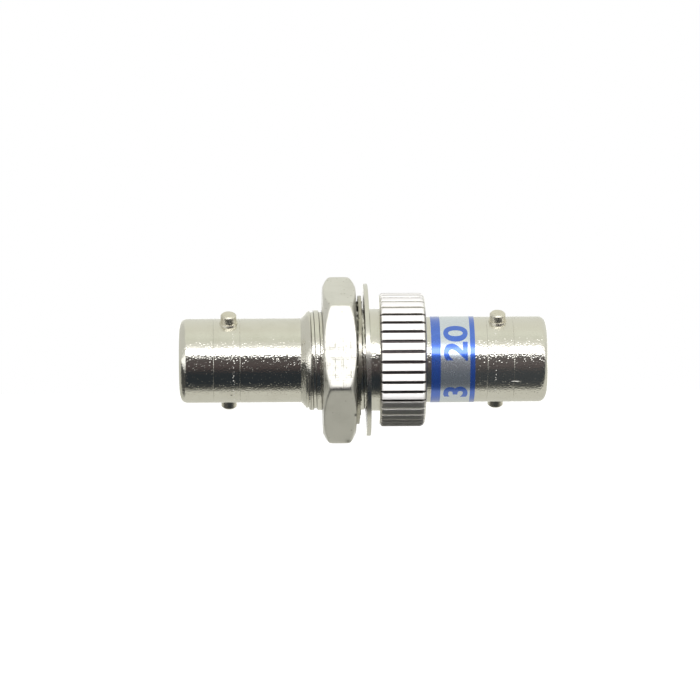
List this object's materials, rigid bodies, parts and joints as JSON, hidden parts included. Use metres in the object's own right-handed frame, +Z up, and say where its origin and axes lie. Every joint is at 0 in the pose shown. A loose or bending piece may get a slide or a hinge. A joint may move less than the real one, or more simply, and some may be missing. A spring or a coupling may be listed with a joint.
{
  "type": "fiber optic attenuator",
  "caption": "Fixed fibre optic attenuator for a panel: bayonet port at each end, threaded neck with nut and washers, knurled shoulder, foil label.",
  "frame": {"origin": "on the long axis, in the plane of the knurled shoulder's panel face", "axes": "+X along the long axis towards the rear port, +Z up, and -Y towards the side that the picture shows; the threaded neck and the front port lie at -X"},
  "size_m": [0.0348, 0.0152, 0.016],
  "materials": {
    "nickel_body": "bright nickel plate on turned brass, finely pitted",
    "nickel_lug": "bright nickel plate on a pressed pin",
    "nickel_nut": "satin nickel plate on a machined nut",
    "dark_steel": "dark hardened spring steel",
    "washer_nickel": "nickel plate on stamped steel",
    "label_foil": "silver foil with blue printed bands",
    "holder_bronze": "turned bronze",
    "zirconia": "ground zirconia",
    "fibre_glass": "doped silica fibre"
  },
  "bodies": {
    "housing": {"front_body": "nickel_body", "rear_body": "nickel_body", "front_upper_lug": "nickel_lug", "front_lower_lug": "nickel_lug", "rear_upper_lug": "nickel_lug", "rear_lower_lug": "nickel_lug", "label": "label_foil", "front_sleeve_holder": "holder_bronze", "rear_sleeve_holder": "holder_bronze", "split_sleeve": "zirconia", "attenuating_stub": "zirconia", "doped_fibre": "fibre_glass"},
    "washers": {"lock_washer": "dark_steel", "flat_washer": "washer_nickel"},
    "nut": {"hex_nut": "nickel_nut"}
  },
  "joints": [
    {"name": "thread_travel", "type": "slide", "parent": "housing", "child": "washers", "axis": [1, 0, 0], "range_m": [-0.0032, 0.0007]},
    {"name": "nut_turn", "type": "hinge", "parent": "washers", "child": "nut", "pos_m": [-0.00376, 0, 0], "axis": [1, 0, 0], "range_deg": [-1440, 315]}
  ],
  "couplings": [
    {"joint": "thread_travel", "follows": "nut_turn", "m_per_rad": 0.00012633}
  ]
}
